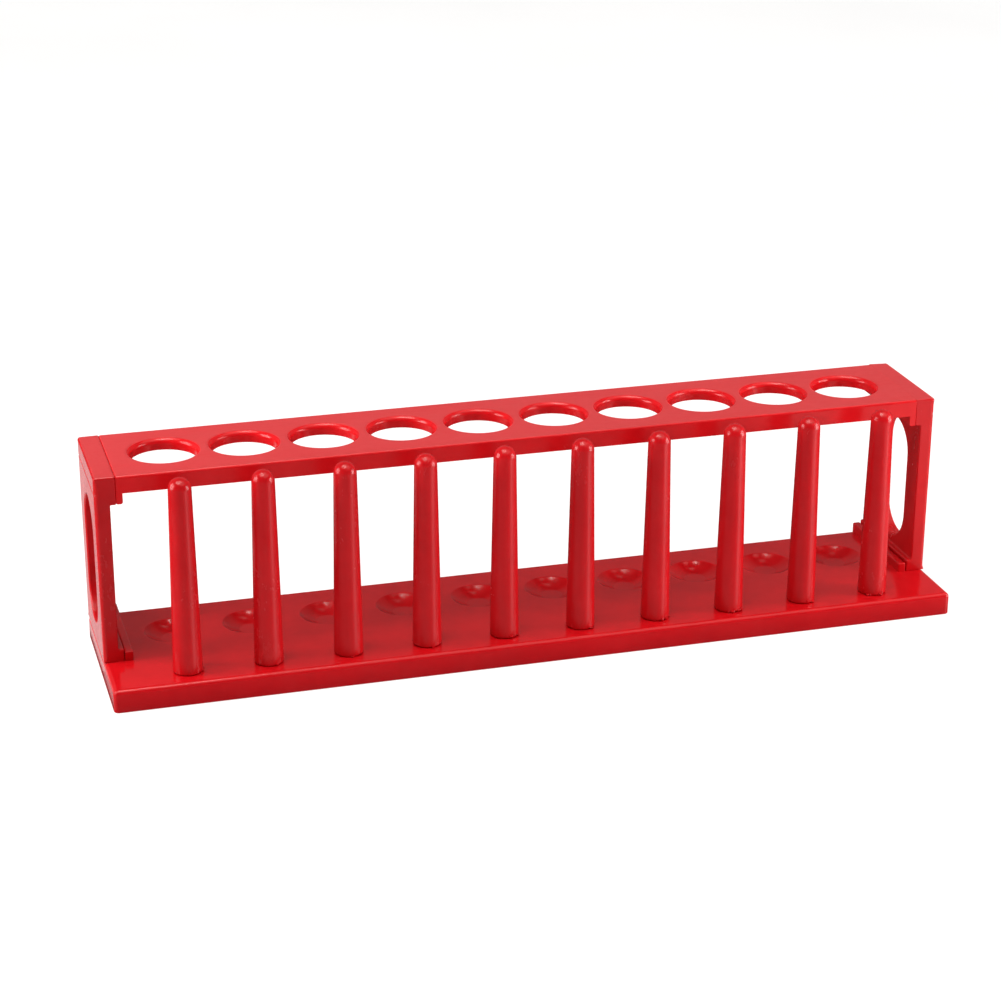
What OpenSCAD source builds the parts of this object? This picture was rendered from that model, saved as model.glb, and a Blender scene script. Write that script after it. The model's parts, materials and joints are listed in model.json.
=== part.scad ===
// Test tube rack in moulded plastic: one row of tube holes, and a row of drying pegs in front of it.
// The rack stands on z = 0. Its length runs along X, and the pegs are on the -Y side.
// The origin is the middle of the rack's footprint. All sizes are in millimetres.

/* [Rack] */
// Number of tube places, each with a hole, a dimple and a peg
places = 10; // [4:1:10]
// Centre distance of two neighbouring places
pitch = 24; // [23:0.5:30]
// Distance from the last place's centre to the end of the rack
end_margin = 23; // [21:0.5:40]
// Height of the top face above the table
stand_h = 65; // [50:1:110]
// Depth of the end frames and the top plate, front to back
frame_w = 36.5; // [32:0.5:40]

/* [Tube holes] */
// Diameter of a tube hole, which takes a tube of 18 mm
hole_d = 19.6; // [15:0.1:20.4]
// Radius of the rounded upper rim of a hole
hole_rim_r = 1.6; // [0.4:0.1:1.8]
// Diameter of the dimple under a hole, at the deck
dimple_d = 17; // [10:0.5:18]
// Depth of a dimple below the deck
dimple_depth = 2.9; // [1:0.1:3.2]

/* [Base] */
// Depth of the base, front to back
base_w = 56.5; // [52:0.5:80]
// Height of the base
base_h = 7; // [6:0.1:9]
// Thickness of the deck, the base's upper wall
deck_t = 3; // [2.4:0.1:3.4]
// Thickness of the outer wall that stands on the table
wall_t = 2.4; // [1.6:0.1:2.6]
// Radius of the base's upright corners and upper edges
base_edge_r = 1.5; // [0.6:0.1:2]
// Thickness of the end ribs that stand on the deck behind the feet
end_rib_t = 2.7; // [1.6:0.1:3.5]
// Height of the end ribs above the deck
end_rib_h = 2.9; // [1.5:0.1:3.6]

/* [Top plate] */
// Thickness of the plate around the holes
plate_t = 3.6; // [3.2:0.1:4.4]
// Height of the edge along the front and back of the plate
skirt_h = 5.4; // [4.5:0.1:8]
// Thickness of that edge, below the plate
skirt_t = 1.9; // [1.4:0.1:3]
// Radius of the plate's upper front and back edges
plate_edge_r = 0.8; // [0.3:0.1:1.2]
// Thickness of the lug at each end, which hangs down beside the end frame's head
lug_t = 1.9; // [1.4:0.1:3]

/* [End frames] */
// Thickness of the panel
panel_t = 4.5; // [3:0.1:5]
// Thickness of the head, which meets the top plate
head_t = 6.3; // [5.6:0.1:8]
// Height of the head
head_h = 8.7; // [7:0.1:12]
// Thickness of the foot, which stands on the deck
foot_t = 6.1; // [5.2:0.1:8]
// Height of the foot
foot_h = 3.8; // [2:0.1:6]
// Width of the window, which has round ends
window_w = 20; // [10:0.5:24]
// Height of the window
window_h = 40; // [26:0.5:42]
// Height of the window's lower end above the table
window_z = 13.2; // [11:0.1:14]

/* [Drying pegs] */
// Diameter of a peg at the deck
peg_d = 8.8; // [7:0.1:10]
// Diameter of a peg at its round tip
peg_tip_d = 6.8; // [5:0.1:8]
// Height of a peg above the deck
peg_h = 60.2; // [40:0.1:100]
// Distance from the base's front edge to the pegs' centres
peg_inset = 8.8; // [8:0.1:12]
// Diameter of the tail that is pressed into the base
tail_d = 6; // [4:0.1:6.4]

/* [Hidden] */
$fn = 72;
LEFT = -1;
RIGHT = 1;
fit_gap = 0.1;         // clearance around a tongue or a tenon
press_gap = 0.03;      // clearance around a peg's tail, drawn open where the real one grips
over = 1;              // how far a cutter runs past what it cuts

rack_l = (places - 1) * pitch + 2 * end_margin;
deck_z = base_h;
plate_l = rack_l - 2 * head_t;
frame_h = stand_h - deck_z;
back_y = base_w / 2;
hole_y = back_y - frame_w / 2;
peg_y = peg_inset - base_w / 2;
skirt_edge = frame_w - 2 * skirt_t;

// Sphere that cuts a dimple of the stated diameter and depth
dimple_r = (pow(dimple_d / 2, 2) + pow(dimple_depth, 2)) / (2 * dimple_depth);
pad_d = dimple_d + 1.6;   // round pad under the deck that backs a dimple
pad_t = 1.4;

boss_d = tail_d + 4;      // boss under the deck that holds a peg's tail
boss_foot = 0.6;          // the bosses and ribs stop this far above the table
tail_l = base_h - boss_foot - 0.4;
web_t = 1.4;              // stiffening webs under the deck
web_y = (peg_y + hole_y) / 2 - 1;

tongue_w = 24;            // tongue on the top plate's end, and its mortise in the head
tongue_t = 1.8;
tongue_l = 3;
tongue_z = stand_h - 2.6;

tenon_w = 8;              // snap tenons under a foot, and their slots in the deck
tenon_t = 2.2;
tenon_l = deck_t + 1.6;
tenon_barb = 0.5;
tenon_inset = 2.9;        // from the rack's end to the tenon's outer face
tenon_y = [hole_y - frame_w / 4, hole_y + frame_w / 4];

function place_x(i) = (i - (places + 1) / 2) * pitch;
function two_digits(i) = i < 10 ? str("0", i) : str(i);
function peg_name(i) = str("peg_", two_digits(i));

// Flat rectangle with round corners, centred on the origin
module rounded_rect(w, d, r) {
    square([w - 2 * r, d], center = true);
    square([w, d - 2 * r], center = true);
    for (x = [-1, 1], y = [-1, 1])
        translate([x * (w / 2 - r), y * (d / 2 - r)])
            circle(r = r);
}

// Upright outline that stands on the origin, with its two upper corners rounded
module arch(w, h, r) {
    translate([-w / 2, 0])
        square([w, h - r]);
    translate([r - w / 2, 0])
        square([w - 2 * r, h]);
    for (x = [-1, 1])
        translate([x * (w / 2 - r), h - r])
            circle(r = r);
}

// Extrudes an outline drawn in X and Z along Y, centred
module along_y(l) {
    rotate([90, 0, 0])
        linear_extrude(l, center = true)
            children();
}

// Extrudes an outline drawn in Y and Z along X, centred
module along_x(l) {
    rotate([90, 0, 90])
        linear_extrude(l, center = true)
            children();
}

// Base

module base_shell() {
    difference() {
        intersection() {
            linear_extrude(base_h)
                rounded_rect(rack_l, base_w, base_edge_r);
            along_y(base_w + over)
                arch(rack_l, base_h, base_edge_r);
            along_x(rack_l + over)
                arch(base_w, base_h, base_edge_r);
        }
        translate([0, 0, -over])
            linear_extrude(base_h - deck_t + over)
                square([rack_l - 2 * wall_t, base_w - 2 * wall_t], center = true);
    }
}

// Webs, dimple pads and peg bosses under the deck
module base_underside() {
    under_h = base_h - deck_t - boss_foot;
    reach_l = rack_l - 2 * wall_t + over;
    reach_w = base_w - 2 * wall_t + over;
    for (i = [1:places])
        translate([place_x(i), peg_y, boss_foot])
            cylinder(d = boss_d, h = under_h + over);
    for (i = [1:places])
        translate([place_x(i), hole_y, base_h - deck_t - pad_t])
            cylinder(d = pad_d, h = pad_t + over);
    for (i = [1:places - 1])
        translate([place_x(i + 0.5) - web_t / 2, -reach_w / 2, boss_foot])
            cube([web_t, reach_w, under_h + over]);
    translate([-reach_l / 2, web_y - web_t / 2, boss_foot])
        cube([reach_l, web_t, under_h + over]);
}

module end_ribs() {
    rib_x = rack_l / 2 - foot_t - end_rib_t / 2;
    for (side = [LEFT, RIGHT])
        translate([side * rib_x, hole_y, deck_z - over])
            along_y(frame_w)
                arch(end_rib_t, end_rib_h + over, 0.5);
}

module tenon_slots() {
    slot_w = tenon_w + 2 * fit_gap;
    slot_t = tenon_t + 2 * fit_gap;
    for (side = [LEFT, RIGHT], y = tenon_y)
        translate([side * (rack_l / 2 - tenon_inset + fit_gap - slot_t / 2), y, base_h / 2])
            cube([slot_t, slot_w, base_h + 2 * over], center = true);
}

module base_plate() {
    color([0.76, 0.06, 0.09])
        difference() {
            union() {
                base_shell();
                base_underside();
                end_ribs();
            }
            for (i = [1:places])
                translate([place_x(i), hole_y, deck_z + dimple_r - dimple_depth])
                    sphere(r = dimple_r);
            for (i = [1:places])
                translate([place_x(i), peg_y, -over])
                    cylinder(d = tail_d + 2 * press_gap, h = base_h + 2 * over);
            tenon_slots();
        }
}

// Top plate

// Cutter for one tube hole: a straight bore that opens into a round upper rim
module hole_cutter() {
    hole_r = hole_d / 2;
    translate([0, 0, -plate_t - over])
        cylinder(r = hole_r, h = plate_t + 2 * over);
    translate([0, 0, -hole_rim_r])
        rotate_extrude()
            difference() {
                square([hole_r + hole_rim_r, hole_rim_r + over]);
                translate([hole_r + hole_rim_r, 0])
                    circle(r = hole_rim_r);
            }
}

// Cross-section of the plate: a flat top with a deeper edge at the front and the back
module plate_section() {
    difference() {
        arch(frame_w, skirt_h, plate_edge_r);
        translate([-skirt_edge / 2, -over])
            square([skirt_edge, skirt_h - plate_t + over]);
    }
}

module plate_lugs() {
    lug_x = plate_l / 2 - lug_t / 2;
    for (side = [LEFT, RIGHT])
        translate([side * lug_x - lug_t / 2, hole_y - frame_w / 2, stand_h - head_h])
            cube([lug_t, frame_w, head_h - plate_edge_r]);
}

module plate_tongues() {
    for (side = [LEFT, RIGHT])
        translate([side * plate_l / 2, hole_y, tongue_z])
            cube([2 * tongue_l, tongue_w, tongue_t], center = true);
}

module top_plate() {
    color([0.80, 0.11, 0.13])
        difference() {
            union() {
                translate([0, hole_y, stand_h - skirt_h])
                    along_x(plate_l)
                        plate_section();
                plate_lugs();
                plate_tongues();
            }
            for (i = [1:places])
                translate([place_x(i), hole_y, stand_h])
                    hole_cutter();
        }
}

// End frames, drawn for the right-hand end and mirrored for the left

// Front view of an end frame, with its outer face on x = 0 and its foot on z = 0
module frame_outline() {
    edge_r = plate_edge_r;
    difference() {
        union() {
            translate([-foot_t, 0])
                square([foot_t, foot_h]);
            translate([-panel_t, 0])
                square([panel_t, frame_h]);
            translate([-head_t, frame_h - head_h])
                square([head_t, head_h]);
        }
        translate([-edge_r, frame_h - edge_r])
            difference() {
                square(edge_r + over);
                circle(r = edge_r);
            }
    }
}

module window_cutter() {
    end_z = window_h / 2 - window_w / 2;
    along_x(2 * (panel_t + over)) {
        square([window_w, 2 * end_z], center = true);
        for (z = [-end_z, end_z])
            translate([0, z])
                circle(d = window_w);
    }
}

// A tenon with a barb that catches under the deck; its outer face is on x = 0
module snap_tenon() {
    catch_z = -deck_t - fit_gap;
    along_y(tenon_w)
        polygon([
            [0, over],
            [-tenon_t, over],
            [-tenon_t, catch_z],
            [-tenon_t - tenon_barb, catch_z - 0.2],
            [-tenon_t, -tenon_l],
            [0, -tenon_l]
        ]);
}

module end_frame() {
    color([0.78, 0.09, 0.12])
        translate([rack_l / 2, hole_y, 0]) {
            difference() {
                translate([0, 0, deck_z])
                    along_y(frame_w)
                        frame_outline();
                translate([-panel_t / 2, 0, window_z + window_h / 2])
                    window_cutter();
                translate([-head_t, 0, tongue_z])
                    cube([2 * (tongue_l + fit_gap), tongue_w + 2 * fit_gap, tongue_t + 2 * fit_gap],
                         center = true);
            }
            for (y = tenon_y)
                translate([-tenon_inset, y - hole_y, deck_z])
                    snap_tenon();
        }
}

module end_frame_right() {
    end_frame();
}

module end_frame_left() {
    mirror([1, 0, 0])
        end_frame();
}

// Drying pegs

module peg(i) {
    tip_r = peg_tip_d / 2;
    color([0.78, 0.07, 0.10])
        translate([place_x(i), peg_y, deck_z]) {
            cylinder(d1 = peg_d, d2 = peg_tip_d, h = peg_h - tip_r);
            translate([0, 0, peg_h - tip_r])
                sphere(r = tip_r);
            translate([0, 0, -tail_l])
                cylinder(d = tail_d, h = tail_l + over);
        }
}

base_plate();
top_plate();
end_frame_left();
end_frame_right();
for (i = [1:places]) peg(i);
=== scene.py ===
import json
import math
import random

import bmesh
import bpy
from mathutils import Matrix, Vector


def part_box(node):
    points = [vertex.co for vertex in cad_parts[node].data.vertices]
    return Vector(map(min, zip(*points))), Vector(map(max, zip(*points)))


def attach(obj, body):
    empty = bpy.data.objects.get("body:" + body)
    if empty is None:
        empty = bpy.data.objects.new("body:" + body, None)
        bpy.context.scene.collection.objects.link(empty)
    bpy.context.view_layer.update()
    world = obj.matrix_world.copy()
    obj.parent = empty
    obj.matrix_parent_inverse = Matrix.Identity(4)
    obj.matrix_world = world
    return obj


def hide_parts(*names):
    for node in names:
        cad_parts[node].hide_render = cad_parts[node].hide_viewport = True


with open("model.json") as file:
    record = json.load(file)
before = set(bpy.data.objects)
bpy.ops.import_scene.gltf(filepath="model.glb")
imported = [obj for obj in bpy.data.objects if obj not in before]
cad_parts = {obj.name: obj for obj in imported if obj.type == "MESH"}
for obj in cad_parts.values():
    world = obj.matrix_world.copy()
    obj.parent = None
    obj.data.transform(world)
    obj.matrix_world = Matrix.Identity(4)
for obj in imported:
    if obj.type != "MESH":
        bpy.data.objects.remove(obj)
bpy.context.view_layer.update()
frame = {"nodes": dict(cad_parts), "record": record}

# Looks of the test tube rack: every moulded piece is built again here with its rounded edges,
# joint gaps, flash and mould marks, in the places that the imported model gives.
# Shapes are worked out in millimetres and written in metres.

MM = 0.001
SMOOTH_ANGLE = math.radians(35)

# Sizes from the frame

mounts = {m["name"]: m for m in frame["record"]["mounts"]}
tube_holes = [m for name, m in sorted(mounts.items()) if name.startswith("tube_hole")]
peg_names = sorted(name for name in frame["nodes"] if name.startswith("peg_"))


def box_mm(node):
    """The low and high corners of a node's box."""
    low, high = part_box(node)
    return low / MM, high / MM


_, base_high = box_mm("base_plate")
plate_low, plate_high = box_mm("top_plate")
right_low, right_high = box_mm("end_frame_right")

HALF_L = base_high.x
HALF_W = base_high.y
DECK_Z = mounts["drying_pegs"]["pos_m"][2] / MM
HOLE_X = [m["pos_m"][0] / MM for m in tube_holes]
HOLE_Y = tube_holes[0]["pos_m"][1] / MM
HOLE_R = tube_holes[0]["dims"]["r_mm"]
PITCH = HOLE_X[1] - HOLE_X[0]
TOP_Z = plate_high.z
FRONT_Y = plate_low.y
BACK_Y = plate_high.y
HEAD_T = right_high.x - right_low.x
PLATE_END = HALF_L - HEAD_T
LUG_Z = plate_low.z
PEG_Y = mounts["drying_pegs"]["pos_m"][1] / MM

# Details that follow the moulding and aren't in the frame's boxes

# Roundings
RIM_R = 1.6          # upper rim of a tube hole
PLATE_EDGE = 0.8     # the plate's and the frames' upper edges
FRAME_EDGE = 1.2     # the frames' outer upright edges
FRAME_SOFT = 0.4     # the frames' inner upright edges
BASE_EDGE = 1.5      # the base's corners and upper edges
SEAM = {-1: 0.60, 1: 0.10}   # where a head meets the plate, looser on the left
SEAM_TURN = 58       # degrees the rounding turns before the two pieces touch

# Top plate
PLATE_T = 3.6        # plate at the holes
SKIRT_H = 5.4        # plate's front and back edge
SKIRT_T = 1.9
LUG_T = 1.9
TONGUE = (24, 1.8, 3)    # width, height, length
TONGUE_Z = TOP_Z - 2.6
MARK_Y = 12          # ejector marks under the plate, either side of its middle
MARK_R = 1.5
MARK_DEPTH = 0.12

# End frames
PANEL_T = 4.5
FOOT_T = 6.1
FOOT_H = 3.8
FOOT_FILLET = 0.6    # between the foot and the panel
HEAD_FILLET = 0.25   # between the head and the panel
WINDOW_W = 20
WINDOW_H = 40
WINDOW_Z = 13.2
GROOVE_Z = TOP_Z - 5.3   # groove across a frame's outer face
GROOVE_HALF = 0.3
GROOVE_DEPTH = 0.22

# Base
RIB_T = 2.7
RIB_H = 2.9
RIB_GAP = 0.2        # between a foot and its rib
DECK_T = 3.0
WALL_T = 2.4
DIMPLE_R = 8.5
DIMPLE_DEPTH = 2.9
PAD_R = (9.2, 9.4)   # pad under a dimple, at its lower and upper end
PAD_H = 1.4
BOSS_R = 5.0
WEB_T = 1.4
WEB_FOOT = 0.6       # gap between the webs and the bench
BITE = 0.5           # how far joined shapes run into each other

# Fits
TENON = (8, 2.2, DECK_T + 1.6)   # width, thickness, length
TENON_BARB = 0.5
TENON_INSET = 2.9
TENON_Y = (HOLE_Y - (BACK_Y - FRONT_Y) / 4, HOLE_Y + (BACK_Y - FRONT_Y) / 4)
FIT_GAP = 0.1        # clearance round a tenon or tongue
BORE_GAP = 0.03      # clearance round a peg's tail

# Pegs
TAIL_R = 3.0
TIP_R = 3.4          # round tip
PEG_SEAT = 0.06      # gap between a peg's shoulder and the deck
PEG_FOOT_R = 0.6     # rounding of a peg's shoulder
MOULD_LINE = 0.03    # height of a peg's mould lines
FLASH = {1: (-28, 3), 7: (-35, 4), 8: (-75, 7), 10: (-92, 6)}   # peg: angle and number of crumbs
USUAL_FLASH = (-60, 2)

# Stations
CELL_STEPS = 24      # along one tube's stretch of plate or deck
DEPTH_STEPS = 30     # from front to back
PANEL_STEPS = 44     # up an end frame


# Building meshes

def arc(cx, cy, r, start, end, steps):
    """Points on an arc, angles in degrees, both ends included."""
    angles = [math.radians(start + (end - start) * k / steps) for k in range(steps + 1)]
    return [(cx + r * math.cos(a), cy + r * math.sin(a)) for a in angles]


def span(a, b, steps):
    """Evenly spaced values, both ends included."""
    return [a + (b - a) * k / steps for k in range(steps + 1)]


def mirrored(points, centre):
    """The points reflected about first coordinate = centre, in reverse order."""
    return [(2 * centre - u, v) for u, v in reversed(points)]


def inset(outline, distance):
    """A closed anticlockwise outline moved inwards by a distance."""
    moved = []
    count = len(outline)
    for k, point in enumerate(outline):
        here = Vector(point)
        before = (here - Vector(outline[k - 1])).normalized()
        after = (Vector(outline[(k + 1) % count]) - here).normalized()
        inward = Vector((-before.y - after.y, before.x + after.x)).normalized()
        lean = max(0.35, inward.dot(Vector((-after.y, after.x))))
        moved.append(tuple(here + inward * distance / lean))
    return moved


class Shell:
    """Collects the faces of one closed surface. Points that coincide are merged at the end."""

    def __init__(self):
        self.points = []
        self.faces = []

    def face(self, *corners):
        first = len(self.points)
        self.points += corners
        self.faces.append(range(first, first + len(corners)))

    def loft(self, rings, closed=True):
        """Quads between each ring of points and the next."""
        for ring, following in zip(rings, rings[1:]):
            count = len(ring)
            for k in range(count if closed else count - 1):
                n = (k + 1) % count
                self.face(ring[k], ring[n], following[n], following[k])

    def mesh(self, name):
        work = bmesh.new()
        verts = [work.verts.new(Vector(p) * MM) for p in self.points]
        for corners in self.faces:
            work.faces.new([verts[k] for k in corners])
        bmesh.ops.remove_doubles(work, verts=work.verts, dist=0.002 * MM)
        bmesh.ops.dissolve_degenerate(work, edges=work.edges, dist=0.001 * MM)
        bmesh.ops.recalc_face_normals(work, faces=work.faces)
        data = bpy.data.meshes.new(name)
        work.to_mesh(data)
        work.free()
        return data


def new_object(name, data):
    """An object that holds the data, in the scene."""
    obj = bpy.data.objects.new(name, data)
    bpy.context.scene.collection.objects.link(obj)
    return obj


def apply_modifiers(obj):
    graph = bpy.context.evaluated_depsgraph_get()
    data = bpy.data.meshes.new_from_object(obj.evaluated_get(graph))
    obj.modifiers.clear()
    old = obj.data
    obj.data = data
    bpy.data.meshes.remove(old)


def combine(obj, others, operation):
    """Joins or cuts obj with all of the other objects at once, and uses them up."""
    group = bpy.data.collections.new("cutters")
    for other in others:
        group.objects.link(other)
    cut = obj.modifiers.new("cut", "BOOLEAN")
    cut.operation = operation
    cut.solver = "EXACT"
    cut.operand_type = "COLLECTION"
    cut.collection = group
    apply_modifiers(obj)
    for other in others:
        data = other.data
        bpy.data.objects.remove(other)
        bpy.data.meshes.remove(data)
    bpy.data.collections.remove(group)


def shade(obj):
    """Smooth round surfaces, flat faces kept flat, sharp edges kept sharp."""
    for polygon in obj.data.polygons:
        polygon.use_smooth = True
    obj.data.set_sharp_from_angle(angle=SMOOTH_ANGLE)
    weights = obj.modifiers.new("flat faces", "WEIGHTED_NORMAL")
    weights.keep_sharp = True
    weights.weight = 90


def slab(name, low, high):
    """A plain closed box, for cutting and joining."""
    shell = Shell()
    rings = [
        [(low[0], low[1], z), (high[0], low[1], z), (high[0], high[1], z), (low[0], high[1], z)]
        for z in (low[2], high[2])
    ]
    shell.loft(rings)
    shell.face(*rings[0])
    shell.face(*rings[1])
    return new_object(name, shell.mesh(name))


def post(name, centre, radii, heights, steps=64):
    """A closed round post with a radius at each height."""
    shell = Shell()
    rings = [ring_at(centre, r, z, steps) for r, z in zip(radii, heights)]
    shell.loft(rings)
    shell.face(*rings[0])
    shell.face(*rings[-1])
    return new_object(name, shell.mesh(name))


def prism(name, outline, y0, y1):
    """A closed outline in X and Z run along Y."""
    shell = Shell()
    rings = [[(x, y, z) for x, z in outline] for y in (y0, y1)]
    shell.loft(rings)
    shell.face(*rings[0])
    shell.face(*rings[1])
    return new_object(name, shell.mesh(name))


def ring_at(centre, r, z, steps):
    """A round ring in even steps."""
    turn = 2 * math.pi / steps
    return [
        (centre[0] + r * math.cos(k * turn), centre[1] + r * math.sin(k * turn), z)
        for k in range(steps)
    ]


def rectangle_points(xs, ys):
    """Points round a rectangle, anticlockwise, at the stations xs and ys."""
    front = [(x, ys[0]) for x in xs[:-1]]
    right = [(xs[-1], y) for y in ys[:-1]]
    back = [(x, ys[-1]) for x in reversed(xs[1:])]
    left = [(xs[0], y) for y in reversed(ys[1:])]
    return front + right + back + left


def rays(points, centre):
    """Unit directions from a centre to points round it."""
    return [Vector((x - centre[0], y - centre[1])).normalized() for x, y in points]


def round_ring(centre, directions, r, z):
    """A round ring with a point in each direction."""
    return [(centre[0] + d.x * r, centre[1] + d.y * r, z) for d in directions]


# Top plate

def plate_paths():
    """The plate's cross-section in Y and Z: front face, lower edge, and lug edge, from the front."""
    edge, foot, fillet = PLATE_EDGE, 0.3, 0.4
    under_z = TOP_Z - PLATE_T
    skirt_z = TOP_Z - SKIRT_H
    inner_y = FRONT_Y + SKIRT_T
    front = arc(FRONT_Y + edge, TOP_Z - edge, edge, 90, 180, 6)
    front += [(FRONT_Y, TONGUE_Z), (FRONT_Y, skirt_z + foot)]
    lower = arc(FRONT_Y + foot, skirt_z + foot, foot, 180, 270, 3)
    lower += arc(inner_y - foot, skirt_z + foot, foot, 270, 360, 3)
    lower += arc(inner_y + fillet, under_z - fillet, fillet, 180, 90, 3)
    lug = [(FRONT_Y, skirt_z + foot)] + arc(FRONT_Y + 0.5, LUG_Z + 0.5, 0.5, 180, 270, 4)
    return front, lower, lug


class Plate:
    """The top plate's surface, built cell by cell and then end by end."""

    def __init__(self):
        self.shell = Shell()
        self.front, self.lower, self.lug = plate_paths()
        self.top_ys = span(self.front[0][0], 2 * HOLE_Y - self.front[0][0], DEPTH_STEPS)
        self.under_ys = span(self.lower[-1][0], 2 * HOLE_Y - self.lower[-1][0], DEPTH_STEPS)
        self.under_z = self.lower[-1][1]

    def strip(self, xs, path):
        self.shell.loft([[(x, y, z) for y, z in path] for x in xs], closed=False)

    def both_sides(self, xs, path):
        self.strip(xs, path)
        self.strip(xs, mirrored(path, HOLE_Y))

    def cell(self, x0):
        """The stretch of plate round one tube hole."""
        xs = span(x0 - PITCH / 2, x0 + PITCH / 2, CELL_STEPS)
        centre = (x0, HOLE_Y)
        top = rectangle_points(xs, self.top_ys)
        under = rectangle_points(xs, self.under_ys)
        lines = rays(top, centre)
        foot_r = 0.3
        rim = arc(HOLE_R + RIM_R, TOP_Z - RIM_R, RIM_R, 90, 180, 8)
        foot = arc(HOLE_R + foot_r, self.under_z + foot_r, foot_r, 180, 270, 3)
        rings = [[(x, y, TOP_Z) for x, y in top]]
        rings += [round_ring(centre, lines, r, z) for r, z in rim + foot]
        rings.append([(x, y, self.under_z) for x, y in under])
        self.shell.loft(rings)
        self.both_sides(xs, self.front)
        self.both_sides(xs, self.lower)

    def end(self, side, seam):
        """The plate from its last cell to its end, with the lug under it."""
        cells_end = HOLE_X[-1] + PITCH / 2
        lug_x = PLATE_END - LUG_T
        outer_xs = [side * x for x in span(cells_end, PLATE_END - seam, 4)]
        inner_xs = [side * x for x in span(cells_end, lug_x, 3)]
        self.strip(outer_xs, [(y, TOP_Z) for y in self.top_ys])
        self.strip(inner_xs, [(y, self.under_z) for y in self.under_ys])
        self.both_sides(outer_xs, self.front)
        self.both_sides(inner_xs, self.lower)
        lug_path = self.lug + mirrored(self.lug, HOLE_Y)
        self.strip([side * lug_x, side * (PLATE_END - seam)], lug_path)
        step = self.lower + [(y, self.under_z) for y in self.under_ys[1:-1]]
        step += mirrored(self.lower, HOLE_Y)
        step += reversed(lug_path[1:-1])
        self.shell.face(*[(side * lug_x, y, z) for y, z in step])
        top = [(y, TOP_Z) for y in reversed(self.top_ys[1:-1])]
        self.end_face(side, seam, self.front + lug_path[1:-1] + mirrored(self.front, HOLE_Y) + top)

    def end_face(self, side, seam, outline):
        """The end's rounded rim and the flat face that meets the frame's head."""
        rings = []
        full = math.sin(math.radians(SEAM_TURN))
        for angle in span(0, SEAM_TURN, 3):
            lean = math.radians(angle)
            x = side * (PLATE_END - seam + seam * math.sin(lean) / full)
            rings.append([(x, y, z) for y, z in inset(outline, seam * (1 - math.cos(lean)))])
        self.shell.loft(rings)
        self.shell.face(*rings[-1])


def top_plate_mesh():
    plate = Plate()
    for x0 in HOLE_X:
        plate.cell(x0)
    for side, seam in SEAM.items():
        plate.end(side, seam)
    return plate.shell.mesh("top_plate")


def top_plate():
    obj = new_object("top_plate_moulding", top_plate_mesh())
    width, height, length = TONGUE
    tongues = []
    for side in (-1, 1):
        ends = sorted((side * (PLATE_END - 1), side * (PLATE_END + length)))
        low = (ends[0], HOLE_Y - width / 2, TONGUE_Z - height / 2)
        high = (ends[1], HOLE_Y + width / 2, TONGUE_Z + height / 2)
        tongues.append(slab("tongue", low, high))
    combine(obj, tongues, "UNION")
    cutters = []
    under_z = TOP_Z - PLATE_T
    heights = (under_z - 1, under_z + MARK_DEPTH)
    for x0 in HOLE_X[:-1]:
        for y in (HOLE_Y - MARK_Y, HOLE_Y + MARK_Y):
            cutters.append(post("ejector_mark", (x0 + PITCH / 2, y), (MARK_R, MARK_R), heights, 24))
    cutters += [lug_corner(-1), lug_corner(1)]
    combine(obj, cutters, "DIFFERENCE")
    return obj


def lug_corner(side):
    """Cutter that rounds the lower inner edge of a lug."""
    r, over = 0.9, 0.5
    x, z = PLATE_END - LUG_T, LUG_Z
    outline = [(x - over, z - over), (x + r, z - over)]
    outline += arc(x + r, z + r, r, 270, 180, 6)
    outline.append((x - over, z + r))
    return prism("lug_corner", [(side * u, v) for u, v in outline], FRONT_Y - 1, BACK_Y + 1)


# Base

def deck_rows():
    """Stations across the deck: the peg row in front, and the tube row behind it."""
    split = (PEG_Y + HOLE_Y) / 2 - 1
    return span(BASE_EDGE - HALF_W, split, 4), span(split, HALF_W - BASE_EDGE, DEPTH_STEPS)


def base_mesh():
    shell = Shell()
    peg_ys, tube_ys = deck_rows()
    cells_end = HOLE_X[-1] + PITCH / 2
    end_xs = span(cells_end, HALF_L - BASE_EDGE, 6)
    plan_xs = [-x for x in reversed(end_xs[1:])]
    for x0 in HOLE_X:
        xs = span(x0 - PITCH / 2, x0 + PITCH / 2, CELL_STEPS)
        plan_xs += xs[:-1]
        dimple_cell(shell, x0, xs, tube_ys)
    plan_xs += end_xs
    shell.loft([[(x, y, DECK_Z) for y in peg_ys] for x in plan_xs], closed=False)
    for side in (-1, 1):
        xs = [side * x for x in end_xs]
        shell.loft([[(x, y, DECK_Z) for y in tube_ys] for x in xs], closed=False)
    base_wall(shell, base_outline(plan_xs, peg_ys + tube_ys[1:]))
    return shell.mesh("base_plate")


def base_wall(shell, outline):
    """The base's outer wall, from the deck's rounded edge down, and up inside to the deck."""
    edge, foot = BASE_EDGE, 0.3
    rings = []
    for depth, z in arc(edge, DECK_Z - edge, edge, 90, 180, 6):
        rings.append([(*base_point(p, depth), z) for p in outline])
    for depth, z in arc(foot, foot, foot, 180, 270, 3):
        rings.append([(*base_point(p, depth), z) for p in outline])
    rings.append([wall_foot(p, 0) for p in outline])
    rings.append([wall_foot(p, DECK_Z - DECK_T) for p in outline])
    shell.loft(rings)
    shell.face(*rings[-1])


def base_outline(xs, ys):
    """Where each point of the base's outline springs from, and which way it faces."""
    outline = []
    corner = 6

    def turn(x, y, start):
        for k in range(1, corner):
            a = math.radians(start + 90 * k / corner)
            outline.append(((x, y), (math.cos(a), math.sin(a))))

    outline += [((x, ys[0]), (0, -1)) for x in xs]
    turn(xs[-1], ys[0], -90)
    outline += [((xs[-1], y), (1, 0)) for y in ys]
    turn(xs[-1], ys[-1], 0)
    outline += [((x, ys[-1]), (0, 1)) for x in reversed(xs)]
    turn(xs[0], ys[-1], 90)
    outline += [((xs[0], y), (-1, 0)) for y in reversed(ys)]
    turn(xs[0], ys[0], 180)
    return outline


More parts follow.
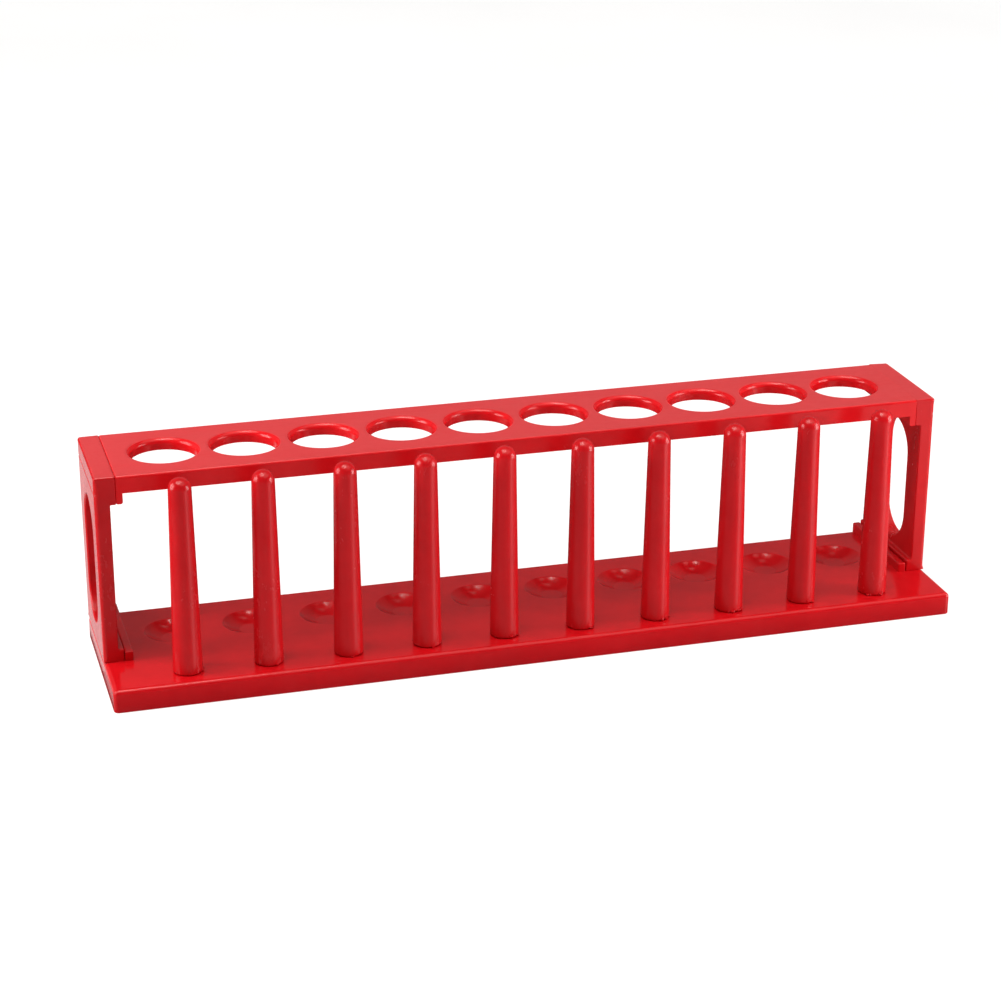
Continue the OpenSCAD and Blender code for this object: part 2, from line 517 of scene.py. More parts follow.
def base_point(point, depth):
    """A point of the outline, a depth inside the base's outer face."""
    (x, y), (nx, ny) = point
    return x + nx * (BASE_EDGE - depth), y + ny * (BASE_EDGE - depth)


def wall_foot(point, z):
    """The inner side of the base's outer wall, square in its corners."""
    (x, y), _ = point
    limit_x, limit_y = HALF_L - WALL_T, HALF_W - WALL_T
    inner_x = max(-limit_x, min(limit_x, x * limit_x / (HALF_L - BASE_EDGE)))
    inner_y = max(-limit_y, min(limit_y, y * limit_y / (HALF_W - BASE_EDGE)))
    return inner_x, inner_y, z


def dimple_cell(shell, x0, xs, ys):
    """One stretch of deck with a dimple: a round lip, then a shallow bowl."""
    centre = (x0, HOLE_Y)
    outer = rectangle_points(xs, ys)
    lines = rays(outer, centre)
    bowl_r = (DIMPLE_R ** 2 + DIMPLE_DEPTH ** 2) / (2 * DIMPLE_DEPTH)
    slope = math.asin(DIMPLE_R / bowl_r)
    lip = 0.9
    start_r = DIMPLE_R + lip * math.tan(slope / 2)
    rings = [[(x, y, DECK_Z) for x, y in outer]]
    for a in span(0, slope, 6):
        r, z = start_r - lip * math.sin(a), DECK_Z - lip * (1 - math.cos(a))
        rings.append(round_ring(centre, lines, r, z))
    edge_a = math.asin((start_r - lip * math.sin(slope)) / bowl_r)
    bowl_z = DECK_Z - DIMPLE_DEPTH + bowl_r
    for a in span(edge_a, 0, 12)[1:-1]:
        r, z = bowl_r * math.sin(a), bowl_z - bowl_r * math.cos(a)
        rings.append(round_ring(centre, lines, r, z))
    shell.loft(rings)
    fan(shell, rings[-1], (x0, HOLE_Y, DECK_Z - DIMPLE_DEPTH))


def fan(shell, ring, tip):
    """Closes a ring with triangles to a tip."""
    for k, point in enumerate(ring):
        shell.face(point, ring[(k + 1) % len(ring)], tip)


def base_plate():
    obj = new_object("base_plate_moulding", base_mesh())
    combine(obj, underside_parts() + [end_rib(-1), end_rib(1)], "UNION")
    combine(obj, base_cutters(), "DIFFERENCE")
    return obj


def underside_parts():
    """Webs, a pad under each dimple and a boss for each peg."""
    under = DECK_Z - DECK_T
    web_top = under + 0.3
    reach_x = HALF_L - WALL_T + 0.4
    reach_y = HALF_W - WALL_T + 0.4
    web_y = deck_rows()[0][-1]
    low, high = web_y - WEB_T / 2, web_y + WEB_T / 2
    parts = [slab("web", (-reach_x, low, WEB_FOOT), (reach_x, high, web_top))]
    for x0 in HOLE_X:
        parts.append(post("pad", (x0, HOLE_Y), PAD_R, (under - PAD_H, under + BITE)))
        parts.append(post("boss", (x0, PEG_Y), (BOSS_R - 0.1, BOSS_R), (WEB_FOOT, under + BITE)))
    for x0 in HOLE_X[:-1]:
        low, high = x0 + PITCH / 2 - WEB_T / 2, x0 + PITCH / 2 + WEB_T / 2
        parts.append(slab("web", (low, -reach_y, WEB_FOOT), (high, reach_y, web_top)))
    return parts


def base_cutters():
    """Bores for the pegs' tails and slots for the frames' tenons."""
    bore = (TAIL_R + BORE_GAP, TAIL_R + BORE_GAP)
    cutters = [post("bore", (x0, PEG_Y), bore, (-1, DECK_Z + 1)) for x0 in HOLE_X]
    width, thick, _ = TENON
    for side in (-1, 1):
        ends = sorted(side * (HALF_L - TENON_INSET + d) for d in (FIT_GAP, -thick - FIT_GAP))
        for y in TENON_Y:
            low = (ends[0], y - width / 2 - FIT_GAP, -1)
            high = (ends[1], y + width / 2 + FIT_GAP, DECK_Z + 1)
            cutters.append(slab("slot", low, high))
    return cutters


def end_rib(side):
    """The low rib on the deck that a foot stands against."""
    shell = Shell()
    low = HALF_L - FOOT_T - RIB_T
    high = HALF_L - FOOT_T - RIB_GAP
    edge, soft = 0.5, 0.4
    outline = [(low, DECK_Z - BITE), (high, DECK_Z - BITE)]
    outline += arc(high - edge, DECK_Z + RIB_H - edge, edge, 0, 90, 4)
    outline += arc(low + edge, DECK_Z + RIB_H - edge, edge, 90, 180, 4)
    rings = []
    for depth, y in arc(soft, FRONT_Y + soft, soft, 270, 180, 3):
        rings.append([(side * x, y, z) for x, z in inset(outline, depth)])
    for depth, y in arc(soft, BACK_Y - soft, soft, 180, 90, 3):
        rings.append([(side * x, y, z) for x, z in inset(outline, depth)])
    shell.loft(rings)
    shell.face(*rings[0])
    shell.face(*rings[-1])
    return new_object("end_rib", shell.mesh("end_rib"))


# End frames

def bend(cx, cz, r, start, end, steps, soft):
    """Outline points round a convex corner, each with its inward direction and end rounding."""
    corner = arc(cx, cz, r, start, end, steps)
    return [((x, z), ((cx - x) / r, (cz - z) / r), soft) for x, z in corner]


def hollow(cx, cz, r, start, end, steps, soft):
    """The same round a concave corner."""
    corner = arc(cx, cz, r, start, end, steps)
    return [((x, z), ((x - cx) / r, (z - cz) / r), soft) for x, z in corner]


def frame_outline(seam):
    """The end frame seen from the front, right-hand end, anticlockwise from its outer foot.

    Also gives the first and last points of the panel's outer face, and of its inner face.
    """
    points = bend(HALF_L - 0.2, DECK_Z + 0.2, 0.2, -90, 0, 2, 0.2)
    outer = [len(points)]
    rise = span(DECK_Z + FRAME_EDGE, GROOVE_Z - GROOVE_HALF, PANEL_STEPS)
    points += [((HALF_L, z), (-1, 0), FRAME_EDGE) for z in rise]
    outer.append(len(points) - 1)
    points.append(((HALF_L - GROOVE_DEPTH, GROOVE_Z), (-1, 0), FRAME_EDGE))
    points.append(((HALF_L, GROOVE_Z + GROOVE_HALF), (-1, 0), FRAME_EDGE))
    points.append(((HALF_L, TOP_Z - 1.8), (-1, 0), FRAME_EDGE))
    points += head_outline(seam)
    inner = [len(points) - 1]
    panel_x = HALF_L - PANEL_T
    foot_top = DECK_Z + FOOT_H
    fall = span(LUG_Z - HEAD_FILLET, foot_top + FOOT_FILLET, PANEL_STEPS)[1:]
    points += [((panel_x, z), (1, 0), FRAME_SOFT) for z in fall]
    inner.append(len(points) - 1)
    points += foot_outline(panel_x, foot_top)
    return points, outer, inner


def head_outline(seam):
    """From the head's outer upper edge, over its seam with the plate, down to the panel."""
    edge, soft, fillet = PLATE_EDGE, FRAME_SOFT, HEAD_FILLET
    head_x = HALF_L - HEAD_T
    points = bend(HALF_L - edge, TOP_Z - edge, edge, 0, 90, 6, edge)
    full = math.sin(math.radians(SEAM_TURN))
    for (x, z), inward, end in bend(0, 0, seam, 90, 90 + SEAM_TURN, 3, seam):
        points.append(((head_x + seam + x / full, TOP_Z - seam + z), inward, end))
    points += bend(head_x + 0.5, LUG_Z + 0.5, 0.5, 180, 270, 4, soft)
    points += hollow(HALF_L - PANEL_T - fillet, LUG_Z - fillet, fillet, 90, 0, 4, soft)
    return points


def foot_outline(panel_x, foot_top):
    """From the panel's inner face round the foot to the deck."""
    soft, fillet = FRAME_SOFT, FOOT_FILLET
    foot_x = HALF_L - FOOT_T
    points = hollow(panel_x - fillet, foot_top + fillet, fillet, 0, -90, 4, soft)[1:]
    points += bend(foot_x + 0.5, foot_top - 0.5, 0.5, 90, 180, 4, soft)
    points += bend(foot_x + 0.2, DECK_Z + 0.2, 0.2, 180, 270, 2, 0.2)
    return points


def stadium(directions, centre, r, half_run):
    """Points round an upright slot with round ends, one in each direction from its centre."""
    points = []
    for d in directions:
        along = abs(r / d.x) if abs(d.x) > 1e-9 else math.inf
        if along * abs(d.y) <= half_run:
            points.append((centre[0] + d.x * along, centre[1] + d.y * along))
            continue
        end = half_run * abs(d.y)
        reach = end + math.sqrt(max(0.0, end * end - half_run * half_run + r * r))
        points.append((centre[0] + d.x * reach, centre[1] + d.y * reach))
    return points


def end_frame_mesh(seam):
    """The right-hand end frame, without its tenons and mortise."""
    shell = Shell()
    outline, outer, inner = frame_outline(seam)
    stations = [span(FRONT_Y + soft, BACK_Y - soft, 32) for _, _, soft in outline]
    for k, ((x, z), _, _) in enumerate(outline):
        if outer[0] <= k < outer[1] or inner[0] <= k < inner[1]:
            continue
        n = (k + 1) % len(outline)
        xn, zn = outline[n][0]
        here = [(x, y, z) for y in stations[k]]
        following = [(xn, y, zn) for y in stations[n]]
        shell.loft([here, following], closed=False)
    for side, end in ((-1, FRONT_Y), (1, BACK_Y)):
        frame_side(shell, outline, side, end)
    outer_face = [outline[k][0] for k in range(outer[0], outer[1] + 1)]
    inner_face = [outline[k][0] for k in range(inner[1], inner[0] - 1, -1)]
    window(shell, outer_face, stations[outer[0]], inner_face, stations[inner[0]])
    return shell.mesh("end_frame")


def frame_side(shell, outline, side, end):
    """The frame's front (side -1) or back face at y = end, with its rounded edges."""
    rings = []
    for angle in (0, 22.5, 45, 67.5, 90):
        a = math.radians(angle)
        ring = []
        for (x, z), (dx, dz), soft in outline:
            depth = soft * (1 - math.cos(a))
            ring.append((x + dx * depth, end - side * soft * (1 - math.sin(a)), z + dz * depth))
        rings.append(ring)
    shell.loft(rings)
    shell.face(*rings[-1])


def window(shell, outer_face, outer_ys, inner_face, inner_ys):
    """The outer and inner faces of the panel, and the window through them."""
    outer_x, inner_x = outer_face[0][0], inner_face[0][0]
    outer_edge = rectangle_points(outer_ys, [z for _, z in outer_face])
    inner_edge = rectangle_points(inner_ys, [z for _, z in inner_face])
    centre = (HOLE_Y, WINDOW_Z + WINDOW_H / 2)
    half_run = (WINDOW_H - WINDOW_W) / 2
    r = WINDOW_W / 2
    soft = 0.6
    lines = rays(outer_edge, centre)
    rim = arc(soft, outer_x - soft, soft, 90, 180, 5) + arc(soft, inner_x + soft, soft, 180, 270, 5)
    rings = [[(outer_x, y, z) for y, z in outer_edge]]
    for grow, x in rim:
        rings.append([(x, y, z) for y, z in stadium(lines, centre, r + grow, half_run)])
    rings.append([(inner_x, y, z) for y, z in inner_edge])
    shell.loft(rings)


def snap_tenon(side, y):
    """A tenon under a foot, with a barb that catches under the deck."""
    width, thick, length = TENON
    x = HALF_L - TENON_INSET
    catch_z = DECK_Z - DECK_T - FIT_GAP
    outline = [
        (x, DECK_Z + 1),
        (x - thick, DECK_Z + 1),
        (x - thick, catch_z),
        (x - thick - TENON_BARB, catch_z - 0.2),
        (x - thick, DECK_Z - length),
        (x, DECK_Z - length),
    ]
    return prism("tenon", [(side * u, v) for u, v in outline], y - width / 2, y + width / 2)


def end_frame(name, side):
    obj = new_object(name, end_frame_mesh(SEAM[side]))
    if side < 0:
        obj.data.transform(Matrix.Diagonal((-1, 1, 1, 1)))
        obj.data.flip_normals()
    combine(obj, [snap_tenon(side, y) for y in TENON_Y], "UNION")
    width, height, length = TONGUE
    ends = sorted((side * (PLATE_END - length), side * (PLATE_END + length + FIT_GAP)))
    low = (ends[0], HOLE_Y - width / 2 - FIT_GAP, TONGUE_Z - height / 2 - FIT_GAP)
    high = (ends[1], HOLE_Y + width / 2 + FIT_GAP, TONGUE_Z + height / 2 + FIT_GAP)
    combine(obj, [slab("mortise", low, high)], "DIFFERENCE")
    return obj


# Pegs

def peg(name, number):
    """A tapered peg with a round tip and foot, faint mould lines, and a little flash at its foot."""
    low, high = box_mm(name)
    x0 = (low.x + high.x) / 2
    foot_r = (high.x - low.x) / 2
    seat = DECK_Z + PEG_SEAT
    rng = random.Random(100 + number)
    phase = rng.uniform(-0.15, 0.15)
    shell = Shell()
    rings = []
    for r, z in peg_profile(foot_r, seat, low.z, high.z):
        lined = seat + 1 < z < high.z - TIP_R
        rings.append(peg_ring((x0, PEG_Y), r, z, phase, MOULD_LINE if lined else 0))
    shell.loft(rings)
    shell.face(*rings[0])
    fan(shell, rings[-1], (x0, PEG_Y, high.z))
    flash(shell, (x0, PEG_Y), foot_r, seat, number, rng)
    return new_object(name + "_moulding", shell.mesh(name))


def peg_profile(foot_r, seat, bottom_z, top_z):
    """Radius and height from the tail's end, over the shoulder, to just under the tip."""
    tip_z = top_z - TIP_R
    start_z = seat + PEG_FOOT_R
    profile = [(TAIL_R - 0.25, bottom_z), (TAIL_R, bottom_z + 0.25), (TAIL_R, seat)]
    profile += arc(foot_r - PEG_FOOT_R, start_z, PEG_FOOT_R, -90, 0, 6)
    for t in span(0, 1, 24)[1:]:
        profile.append((foot_r + (TIP_R - foot_r) * t, start_z + (tip_z - seat - PEG_FOOT_R) * t))
    return profile + arc(0, tip_z, TIP_R, 0, 90, 14)[1:-1]


def peg_ring(centre, r, z, phase, height, steps=72):
    """A ring round the peg, with a mould line of that height on its left and its right."""
    ring = []
    for k in range(steps):
        a = 2 * math.pi * k / steps
        line = max(0.0, 1 - abs(math.sin(a + phase)) / 0.06)
        reach = r + height * line
        ring.append((centre[0] + reach * math.cos(a), centre[1] + reach * math.sin(a), z))
    return ring


def flash(shell, centre, foot_r, seat, number, rng):
    """Small rounded crumbs of flash round a peg's foot."""
    middle_angle, count = FLASH.get(number, USUAL_FLASH)
    for _ in range(count):
        a = math.radians(middle_angle + rng.gauss(0, 18))
        size = rng.uniform(0.25, 0.48)
        reach = foot_r + rng.uniform(-0.05, 0.12)
        x = centre[0] + reach * math.cos(a)
        y = centre[1] + reach * math.sin(a)
        middle = Vector((x, y, seat + rng.uniform(0.15, 0.9)))
        stretch = (size * rng.uniform(0.8, 1.6), size, size * rng.uniform(0.6, 1.3))
        crumb(shell, middle, stretch)


def crumb(shell, middle, stretch):
    """A closed rounded lump, stretched along x, y and z."""
    rings = []
    for latitude in (-60, -25, 10, 45):
        b = math.radians(latitude)
        ring = []
        for k in range(8):
            a = 2 * math.pi * k / 8
            out = Vector((math.cos(a) * math.cos(b), math.sin(a) * math.cos(b), math.sin(b)))
            ring.append(tuple(middle + Vector(c * d for c, d in zip(out, stretch))))
        rings.append(ring)
    shell.loft(rings)
    fan(shell, rings[0], tuple(middle - Vector((0, 0, stretch[2]))))
    fan(shell, rings[-1], tuple(middle + Vector((0, 0, stretch[2]))))


# Materials

SPECULAR = 0.3
IOR = 1.49
# Deep and light pigment of each moulding. The pegs use the base's. The top plate's and the right frame's
# are lighter copies that paint in light; the left frame's is a darker copy that paints in shade.
MAIN_REDS = (0.50, 0.0035, 0.0065), (0.60, 0.0055, 0.0095)
LIT_TOP_REDS = (0.62, 0.0036, 0.0070), (0.74, 0.0058, 0.0100)
SHADED_LEFT_REDS = (0.46, 0.0032, 0.0060), (0.55, 0.0050, 0.0088)
LIT_RIGHT_REDS = (0.52, 0.0032, 0.0060), (0.62, 0.0050, 0.0088)
# paler pink painted on the tops as sheen
PAINTED_SHEEN = (0.64, 0.046, 0.050)
# dark red mixed in as painted shade towards the base's lower edge
PAINTED_SHADE_RED = (0.10, 0.0012, 0.0030)
FLOOR_TONE = (0.36, 0.40)
FLOOR_GLOW = 0.68


class Nodes:
    """Short calls for building a node tree."""

    def __init__(self, tree):
        self.tree = tree

    def add(self, kind, **settings):
        node = self.tree.nodes.new(kind)
        for key, value in settings.items():
            setattr(node, key, value)
        return node

    def link(self, a, b):
        self.tree.links.new(a, b)

    def part(self, vector, axis):
        """One coordinate of a vector."""
        node = self.add("ShaderNodeSeparateXYZ")
        self.link(vector, node.inputs["Vector"])
        return node.outputs[axis]

    def remap(self, value, from_low, from_high, to_low, to_high, **settings):
        node = self.add("ShaderNodeMapRange", **settings)
        node.inputs["From Min"].default_value = from_low
        node.inputs["From Max"].default_value = from_high
        node.inputs["To Min"].default_value = to_low
        node.inputs["To Max"].default_value = to_high
        self.link(value, node.inputs["Value"])
        return node.outputs["Result"]

    def math(self, operation, a, b):
        node = self.add("ShaderNodeMath", operation=operation)
        for socket, value in zip(node.inputs, (a, b)):
            if isinstance(value, (int, float)):
                socket.default_value = value
            else:
                self.link(value, socket)
        return node.outputs["Value"]

    def ramp(self, value, stops):
        """A colour for each position on a ramp, blended between them."""
        node = self.add("ShaderNodeValToRGB")
        elements = node.color_ramp.elements
        while len(elements) < len(stops):
            elements.new(0.5)
        for element, (position, colour) in zip(elements, stops):
            element.position = position
            element.color = (*colour, 1)
        self.link(value, node.inputs["Fac"])
        return node.outputs["Color"]


class Surface(Nodes):
    """The nodes of one new material."""

    def __init__(self, name):
        self.material = bpy.data.materials.new(name)
        self.material.use_nodes = True
        super().__init__(self.material.node_tree)
        self.shader = self.tree.nodes["Principled BSDF"]
        self.coords = self.add("ShaderNodeTexCoord").outputs["Object"]

    def noise(self, scale, detail, roughness, stretch=(1, 1, 1), shift=(0, 0, 0), distortion=0.0):
        place = self.add("ShaderNodeMapping")
        place.inputs["Scale"].default_value = stretch
        place.inputs["Location"].default_value = shift
        self.link(self.coords, place.inputs["Vector"])
        node = self.add("ShaderNodeTexNoise")
        node.inputs["Scale"].default_value = scale
        node.inputs["Detail"].default_value = detail
        node.inputs["Roughness"].default_value = roughness
        node.inputs["Distortion"].default_value = distortion
        self.link(place.outputs["Vector"], node.inputs["Vector"])
        return node.outputs["Fac"]

    def tint(self, colour, other, amount):
        """The colour with an amount of another one in it.

        A Mix node's colour sockets share their names with its number ones, so they go by place.
        """
        node = self.add("ShaderNodeMix", data_type="RGBA")
        first, second = node.inputs[6], node.inputs[7]
        self.link(amount, node.inputs["Factor"])
        self.link(colour, first)
        second.default_value = (*other, 1)
        return node.outputs[2]

    def bump(self, height, distance, strength, below=None):
        node = self.add("ShaderNodeBump")
        node.inputs["Distance"].default_value = distance
        node.inputs["Strength"].default_value = strength
        self.link(height, node.inputs["Height"])
        if below is not None:
            self.link(below, node.inputs["Normal"])
        return node.outputs["Normal"]


def moulded_plastic(name, reds, roughness, seed, flow, sheen_height=None, relief=0.08, foot=None):
    """Glossy red plastic: uneven pigment, dull patches, fine streaks, orange peel and sink waviness.

    The sheen height, in metres, is where the top begins: above it the gloss is duller and a paler tint is
    painted in as sheen.
    Below the foot height, also in metres, shade is painted in, deepening the colour down to the bench.
    """
    n = Surface(name)
    shift = (seed * 0.37, seed * 0.11, seed * 0.23)
    colour = pigment(n, reds, flow, shift)
    rough = uneven_gloss(n, roughness, flow, shift)
    if sheen_height is not None:
        colour, rough = add_painted_sheen(n, sheen_height, colour, rough)
    if foot is not None:
        colour = add_painted_foot_shade(n, foot, colour)
    n.link(colour, n.shader.inputs["Base Color"])
    n.link(rough, n.shader.inputs["Roughness"])
    n.shader.inputs["IOR"].default_value = IOR
    n.shader.inputs["Specular IOR Level"].default_value = SPECULAR
    n.link(mould_relief(n, relief, shift), n.shader.inputs["Normal"])
    return n.material


def pigment(n, reds, flow, shift):
    deep, light = reds
    drawn = n.noise(26, 4, 0.55, flow, shift, 0.6)
    cloud = n.noise(160, 3, 0.6, (1, 1, 1), shift, 0.3)
    mixed = n.math("ADD", n.math("MULTIPLY", drawn, 0.65), n.math("MULTIPLY", cloud, 0.35))
    return n.ramp(mixed, [(0.34, deep), (0.66, light)])


def uneven_gloss(n, roughness, flow, shift):
    streaks = n.remap(n.noise(700, 3, 0.6, flow, shift, 0.1), 0.35, 0.65, -0.02, 0.03)
    patches = n.remap(n.noise(38, 4, 0.6, (1, 1, 1), shift, 0.8), 0.35, 0.7, -0.03, 0.05)
    return n.math("ADD", n.math("ADD", patches, roughness), streaks)


def mould_relief(n, strength, shift):
    """Slow sink waviness, then orange peel, then grain."""
    sink = n.noise(55, 2, 0.5, (1, 1, 1), shift)
    peel = n.noise(700, 2, 0.5, (1, 1, 1), shift)
    grain = n.noise(3200, 2, 0.6, (1, 1, 1), shift)
    normal = n.bump(sink, 0.0005, strength)
    normal = n.bump(peel, 0.0001, strength, normal)
    return n.bump(grain, 0.00004, strength, normal)


def add_painted_sheen(n, height, colour, rough):
    """Rougher gloss, and a paler tint painted in as sheen, on the upward faces near the top."""
    high = n.remap(n.part(n.coords, "Z"), height - 0.0002, height - 0.00002, 0, 1)
    # uneven strength of the painted sheen
    sheen_variation = n.remap(n.noise(90, 5, 0.65, (0.5, 1, 1), (0.3, 0.7, 0.1), 0.5), 0.3, 0.7, 0.75, 1.0)
    amount = n.math("MULTIPLY", high, sheen_variation)
    return n.tint(colour, PAINTED_SHEEN, amount), n.math("ADD", rough, n.math("MULTIPLY", amount, 0.20))


def add_painted_foot_shade(n, height, colour):
    """Painted shade: the colour deepens unevenly towards the lower edge."""
    low = n.remap(n.part(n.coords, "Z"), 0.0005, height, 1.0, 0.0)
    # uneven strength of the painted shade
    painted_shade_noise = n.remap(n.noise(140, 4, 0.6, (0.5, 1, 1), (0.2, 0.4, 0.6), 0.4), 0.3, 0.7, 0.24, 0.38)
    return n.tint(colour, PAINTED_SHADE_RED, n.math("MULTIPLY", low, painted_shade_noise))


def floor_material():
    """A pale bench that also glows a little, so that it looks white."""
    n = Surface("pale_floor")
    tone = n.remap(n.noise(6, 3, 0.5), 0.3, 0.7, *FLOOR_TONE)
    colour = n.add("ShaderNodeCombineColor")
    for channel in ("Red", "Green", "Blue"):
        n.link(tone, colour.inputs[channel])
    n.link(colour.outputs["Color"], n.shader.inputs["Base Color"])
    n.shader.inputs["Roughness"].default_value = 0.75
    n.shader.inputs["Emission Color"].default_value = (1, 1, 1, 1)
    n.shader.inputs["Emission Strength"].default_value = FLOOR_GLOW
    n.material.cycles.emission_sampling = "NONE"
    return n.material


# Stage

CAMERA_AZIMUTH = math.radians(-16.054)
CAMERA_ELEVATION = math.radians(21.573)
CAMERA_ROLL = math.radians(0.19)
CAMERA_DISTANCE = 0.7264
CAMERA_TARGET = Vector((-0.015825, -0.028182, 0.05382))
CAMERA_LENS = 89.68

FLOOR_REACH = 4000   # millimetres; the lamps and cards are placed in metres
AIM = (0, 0, 0.04)   # what the lamps point at
WARM = (1, 0.95, 0.90)
COOL = (1, 0.97, 0.97)
# Lamps light the surfaces, and glints show in their gloss.
# Each has a name, place, width, height, radiance and colour.
LAMPS = [
    ("overhead", (-0.46, -0.22, 2.6), 1.05, 1.05, 11, WARM),
    ("left_box", (-0.48, 0.03, 0.19), 0.15, 0.17, 18, COOL),
    ("right_box", (0.47, -0.18, 0.13), 0.15, 0.17, 20, COOL),
]
GLINTS = [
    ("overhead_glint", (-0.46, -0.22, 2.6), 1.30, 1.20, 18, WARM),
    ("front_glint", (0.75, -0.60, 2.6), 2.6, 2.4, 1.7, WARM),
    ("left_glint", (-0.48, 0.03, 0.19), 0.22, 0.24, 17, COOL),
    ("right_glint", (0.47, -0.18, 0.13), 0.24, 0.26, 16, COOL),
]
# Pale cards on the table past the ends of the rack: name, low and high corner, radiance
CARDS = [
    ("left_card", (-0.180, 0.000), (-0.1315, 0.210), 0.75),
    ("left_foot_card", (-0.141, -0.030), (-0.1315, 0.000), 0.40),
    ("right_card", (0.1345, -0.110), (0.220, 0.060), 0.35),
    ("front_card", (0.1400, -0.340), (0.300, -0.110), 0.80),
]
# How bright the room is at each height of view, from -1 (straight down) to 1
ROOM_BEHIND = [(-0.25, 0.03), (-0.05, 0.20), (0.35, 0.21), (0.62, 0.28), (0.72, 0.28), (0.80, 0.05)]
ROOM_IN_FRONT = [(-0.60, 0.10), (-0.20, 0.10), (0.05, 0.12), (0.50, 0.10), (0.90, 0.05)]
GLOW_TOWARDS = Vector((0.77, -0.64, -0.40)).normalized()
GLOW_SHARPNESS = 40
GLOW_LEVEL = 1.8


def add_camera():
    data = bpy.data.cameras.new("camera")
    data.lens = CAMERA_LENS
    data.sensor_width = 36
    data.clip_start = 0.01
    camera = new_object("camera", data)
    level = math.cos(CAMERA_ELEVATION)
    back = Vector((
        math.sin(CAMERA_AZIMUTH) * level,
        -math.cos(CAMERA_AZIMUTH) * level,
        math.sin(CAMERA_ELEVATION),
    ))
    right = (-back).cross(Vector((0, 0, 1))).normalized()
    up = back.cross(right)
    turn = Matrix((right, up, back)).transposed().to_4x4()
    roll = Matrix.Rotation(CAMERA_ROLL, 4, "Z")
    camera.matrix_world = Matrix.Translation(CAMERA_TARGET + back * CAMERA_DISTANCE) @ turn @ roll
    bpy.context.scene.camera = camera


def softbox(name, place, target, width, height, radiance, colour=(1, 1, 1)):
    """A rectangular lamp; its radiance is relative to a white surface in full light."""
    data = bpy.data.lights.new(name, "AREA")
    data.shape = "RECTANGLE"
    data.size = width
    data.size_y = height
    data.energy = radiance * math.pi * width * height
    data.color = colour
    light = new_object(name, data)
    direction = Vector(target) - Vector(place)
    light.rotation_euler = direction.to_track_quat("-Z", "Y").to_euler()
    light.location = place
    return light


def fill_light(name, direction, level):
    """Broad even light from far away, which shows no reflection of its own."""
    data = bpy.data.lights.new(name, "SUN")
    data.energy = level * math.pi
    data.angle = math.radians(70)
    light = new_object(name, data)
    light.rotation_euler = (-Vector(direction)).to_track_quat("-Z", "Y").to_euler()
    light.visible_glossy = False


def reflector_card(name, low, high, radiance):
    """A card that only shows in reflections."""
    x, y = (low[0] + high[0]) / 2, (low[1] + high[1]) / 2
    card = softbox(name, (x, y, 0.0005), (x, y, 1), high[0] - low[0], high[1] - low[1], radiance)
    card.visible_diffuse = False


def room_level(n, height, stops):
    """The room's brightness at a height of view, which runs from 0 to 1 here."""
    return n.ramp(height, [((z + 1) / 2, (level, level, level)) for z, level in stops])


def studio_world():
    """A dim room: a pale band behind the rack, a darker front, and a soft glow low at the front right."""
    world = bpy.data.worlds.new("studio")
    world.use_nodes = True
    n = Nodes(world.node_tree)
    direction = n.add("ShaderNodeTexCoord").outputs["Generated"]
    height = n.remap(n.part(direction, "Z"), -1, 1, 0, 1)
    backwards = n.remap(n.part(direction, "Y"), -0.15, 0.20, 0, 1, interpolation_type="SMOOTHSTEP")
    blend = n.add("ShaderNodeMix")
    n.link(backwards, blend.inputs["Factor"])
    n.link(room_level(n, height, ROOM_IN_FRONT), blend.inputs["A"])
    n.link(room_level(n, height, ROOM_BEHIND), blend.inputs["B"])
    aim = n.add("ShaderNodeVectorMath", operation="DOT_PRODUCT")
    aim.inputs[1].default_value = GLOW_TOWARDS
    n.link(direction, aim.inputs[0])
    glow = n.math("POWER", n.math("MAXIMUM", aim.outputs["Value"], 0.0), GLOW_SHARPNESS)
    total = n.math("ADD", blend.outputs["Result"], n.math("MULTIPLY", glow, GLOW_LEVEL))
    background = n.tree.nodes["Background"]
    n.link(total, background.inputs["Strength"])
    background.inputs["Color"].default_value = (1, 1, 1, 1)
    bpy.context.scene.world = world


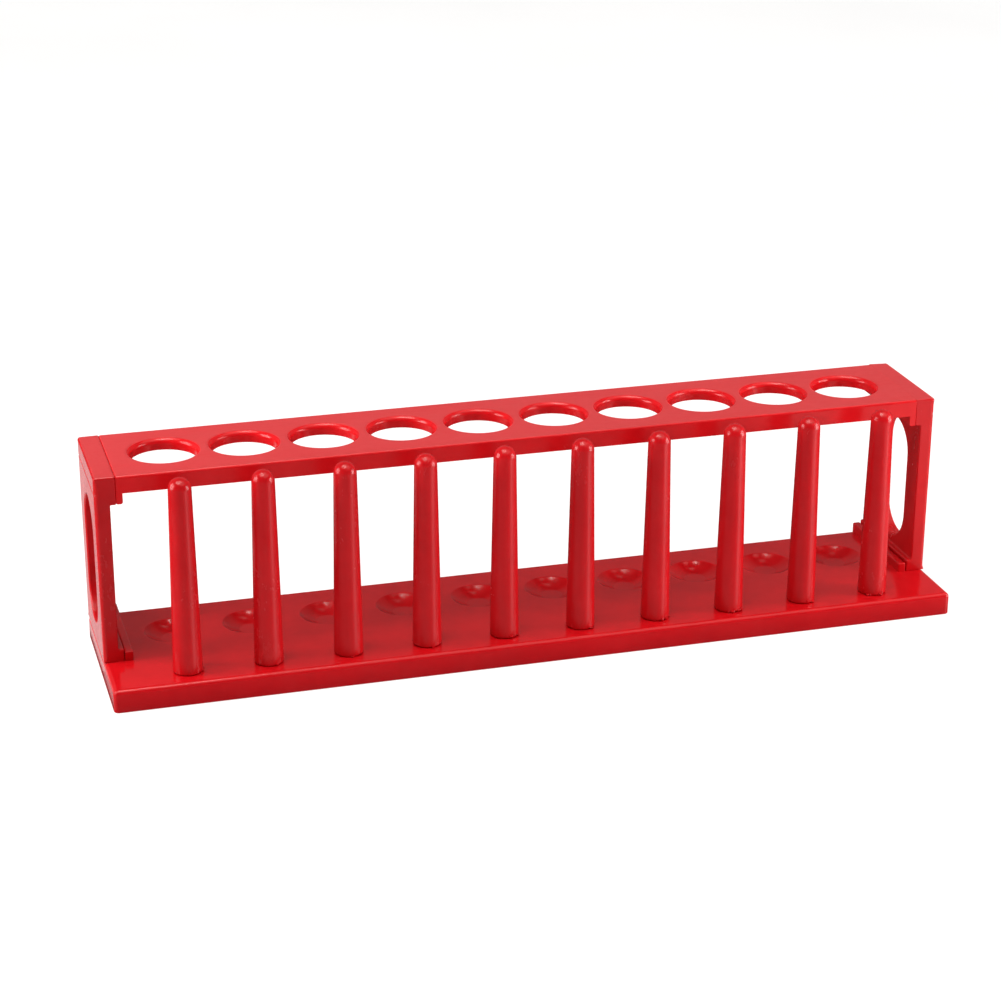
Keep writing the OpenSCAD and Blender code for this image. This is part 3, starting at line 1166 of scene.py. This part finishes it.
def add_floor():
    shell = Shell()
    reach = FLOOR_REACH
    shell.face((-reach, -reach, 0), (reach, -reach, 0), (reach, reach, 0), (-reach, reach, 0))
    floor = new_object("floor", shell.mesh("floor"))
    floor.data.materials.append(floor_material())
    floor.visible_glossy = False


def add_lights():
    for name, place, width, height, radiance, colour in LAMPS:
        softbox(name, place, AIM, width, height, radiance, colour).visible_glossy = False
    for name, place, width, height, radiance, colour in GLINTS:
        softbox(name, place, AIM, width, height, radiance, colour).visible_diffuse = False
    for card in CARDS:
        reflector_card(*card)
    fill_light("upper_fill", (0.1, -0.1, 1.0), 0.30)


# Assembly

def place(obj, node, slot, material):
    """Gives a piece its material and puts it in the place of its CAD node."""
    obj.data.materials.clear()
    obj.data.materials.append(material)
    shade(obj)
    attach(obj, "root")
    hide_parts(node)


# the foot height given to the base's material is where its painted shade starts
base_red = moulded_plastic("base_red", MAIN_REDS, 0.14, 1, (0.4, 1, 1), foot=DECK_Z * MM)
# the last argument, TOP_Z in metres, is where the painted sheen starts
top_red = moulded_plastic("top_red", LIT_TOP_REDS, 0.22, 2, (0.4, 1, 1), TOP_Z * MM)
# The two end frames are one plastic: a shaded copy on the left and a lit copy on the right.
shaded_left_red = moulded_plastic("shaded_left_frame_red", SHADED_LEFT_REDS, 0.22, 3, (1, 1, 0.5), TOP_Z * MM)
lit_right_red = moulded_plastic("lit_right_frame_red", LIT_RIGHT_REDS, 0.22, 5, (1, 1, 0.5), TOP_Z * MM)
peg_red = moulded_plastic("peg_red", MAIN_REDS, 0.22, 4, (1, 1, 0.4), relief=0.03)

place(base_plate(), "base_plate", "base_red", base_red)
place(top_plate(), "top_plate", "top_red", top_red)
place(end_frame("end_frame_left_moulding", -1), "end_frame_left", "frame_red", shaded_left_red)
place(end_frame("end_frame_right_moulding", 1), "end_frame_right", "frame_red", lit_right_red)
for number, name in enumerate(peg_names, 1):
    place(peg(name, number), name, "peg_red", peg_red)

add_floor()
add_lights()
studio_world()
add_camera()
bpy.context.scene.view_settings.view_transform = "Standard"
